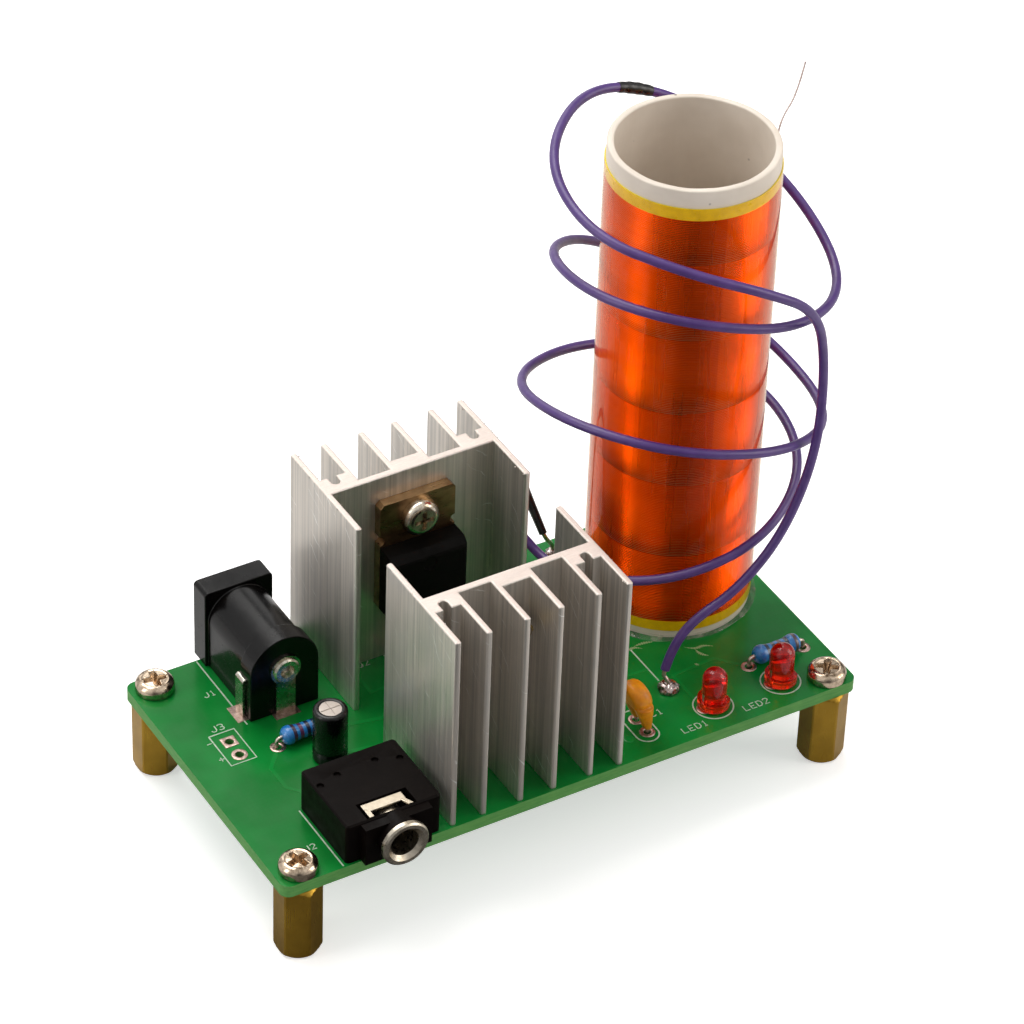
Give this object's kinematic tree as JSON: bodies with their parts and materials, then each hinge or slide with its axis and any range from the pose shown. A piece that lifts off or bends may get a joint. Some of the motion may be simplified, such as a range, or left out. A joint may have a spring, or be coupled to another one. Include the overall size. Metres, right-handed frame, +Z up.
{
  "type": "desktop resonant transformer",
  "caption": "Small musical resonant transformer kit: green board on brass standoffs, wound former with a loose violet primary, two finned heat sinks, power and audio jacks",
  "frame": {"origin": "centre of the footprint on the ground plane, under the middle of the bounding box taken without the primary wire", "axes": "+Z up along the wound former; +X along the board towards the former; +Y to the back, where the power jack opens; -Y to the front, where the audio jack opens"},
  "size_m": [0.0839, 0.0474, 0.0832],
  "materials": {
    "green_solder_mask": "glossy green solder mask over glass-fibre board, white printed outlines",
    "brass_standoff": "turned hexagonal brass",
    "nickel_plated_steel": "bright nickel plate",
    "extruded_aluminium": "plain extrusion with sawn ends",
    "tinned_copper": "tinned, slightly dull",
    "nickel_silver": "stamped and plated",
    "moulded_epoxy": "fine matt mould skin",
    "gloss_black_moulding": "satin to gloss moulding",
    "capacitor_can": "drawn can top with a scored vent",
    "black_shrink_film": "heat-shrunk film",
    "black_rubber": "matt moulded rubber",
    "blue_resistor_lacquer": "lacquer with colour rings",
    "red_lens": "clear tinted epoxy lens",
    "dipped_capacitor_coat": "dipped epoxy, softly uneven",
    "white_pipe": "extruded pipe, satin",
    "enamelled_copper_winding": "close-wound enamelled wire",
    "yellow_tape": "adhesive tape",
    "clear_film": "thin clear film with a lap joint",
    "clear_glue": "cloudy hot-melt fillet",
    "violet_insulation": "soft vinyl insulation",
    "solder": "bright reflowed solder"
  },
  "bodies": {
    "coil_board": {"audio_jack_base": "gloss_black_moulding", "audio_jack_collar": "nickel_plated_steel", "audio_jack_ground_terminal": "tinned_copper", "audio_jack_housing": "gloss_black_moulding", "audio_jack_ring_contact": "tinned_copper", "audio_jack_tip_contact": "tinned_copper", "base_glue": "clear_glue", "ceramic_capacitor_body": "dipped_capacitor_coat", "ceramic_capacitor_leads": "tinned_copper", "circuit_board": "green_solder_mask", "clear_film": "clear_film", "dc_jack_centre_pin": "nickel_silver", "dc_jack_housing": "gloss_black_moulding", "dc_jack_rear_terminal": "tinned_copper", "dc_jack_side_contact": "tinned_copper", "dc_jack_sleeve_terminal": "tinned_copper", "end_sleeve": "black_shrink_film", "filter_capacitor_bung": "black_rubber", "filter_capacitor_can": "capacitor_can", "filter_capacitor_leads": "tinned_copper", "filter_capacitor_sleeve": "black_shrink_film", "former_tube": "white_pipe", "front_heat_sink": "extruded_aluminium", "front_transistor_body": "moulded_epoxy", "front_transistor_frame": "tinned_copper", "front_transistor_leads": "tinned_copper", "left_led_leadframe": "tinned_copper", "left_led_lens": "red_lens", "left_resistor_body": "blue_resistor_lacquer", "left_resistor_leads": "tinned_copper", "lower_end_band": "yellow_tape", "primary_end_lead": "tinned_copper", "primary_solder": "solder", "primary_start_lead": "tinned_copper", "primary_wire": "violet_insulation", "rear_heat_sink": "extruded_aluminium", "rear_transistor_body": "moulded_epoxy", "rear_transistor_frame": "tinned_copper", "rear_transistor_leads": "tinned_copper", "right_led_leadframe": "tinned_copper", "right_led_lens": "red_lens", "right_resistor_body": "blue_resistor_lacquer", "right_resistor_leads": "tinned_copper", "secondary_lower_lead": "enamelled_copper_winding", "secondary_upper_lead": "enamelled_copper_winding", "secondary_winding": "enamelled_copper_winding", "solder_joints": "solder", "splice_sleeve": "black_shrink_film", "standoff_screws": "nickel_plated_steel", "standoffs": "brass_standoff", "transistor_screws": "nickel_plated_steel", "upper_end_band": "yellow_tape"},
    "plug_clip": {"audio_jack_clip": "nickel_silver"},
    "sleeve_spring": {"dc_jack_sleeve_spring": "nickel_silver"}
  },
  "joints": [
    {"name": "clip_flex", "type": "hinge", "parent": "coil_board", "child": "plug_clip", "pos_m": [-0.02616, -0.01635, 0.01688], "axis": [-1, 0, 0], "range_deg": [0, 4], "stiffness_Nm_per_rad": 0.01},
    {"name": "leaf_flex", "type": "hinge", "parent": "coil_board", "child": "sleeve_spring", "pos_m": [-0.02556, 0.01335, 0.01425], "axis": [-1, 0, 0], "range_deg": [0, 3], "stiffness_Nm_per_rad": 0.01}
  ]
}
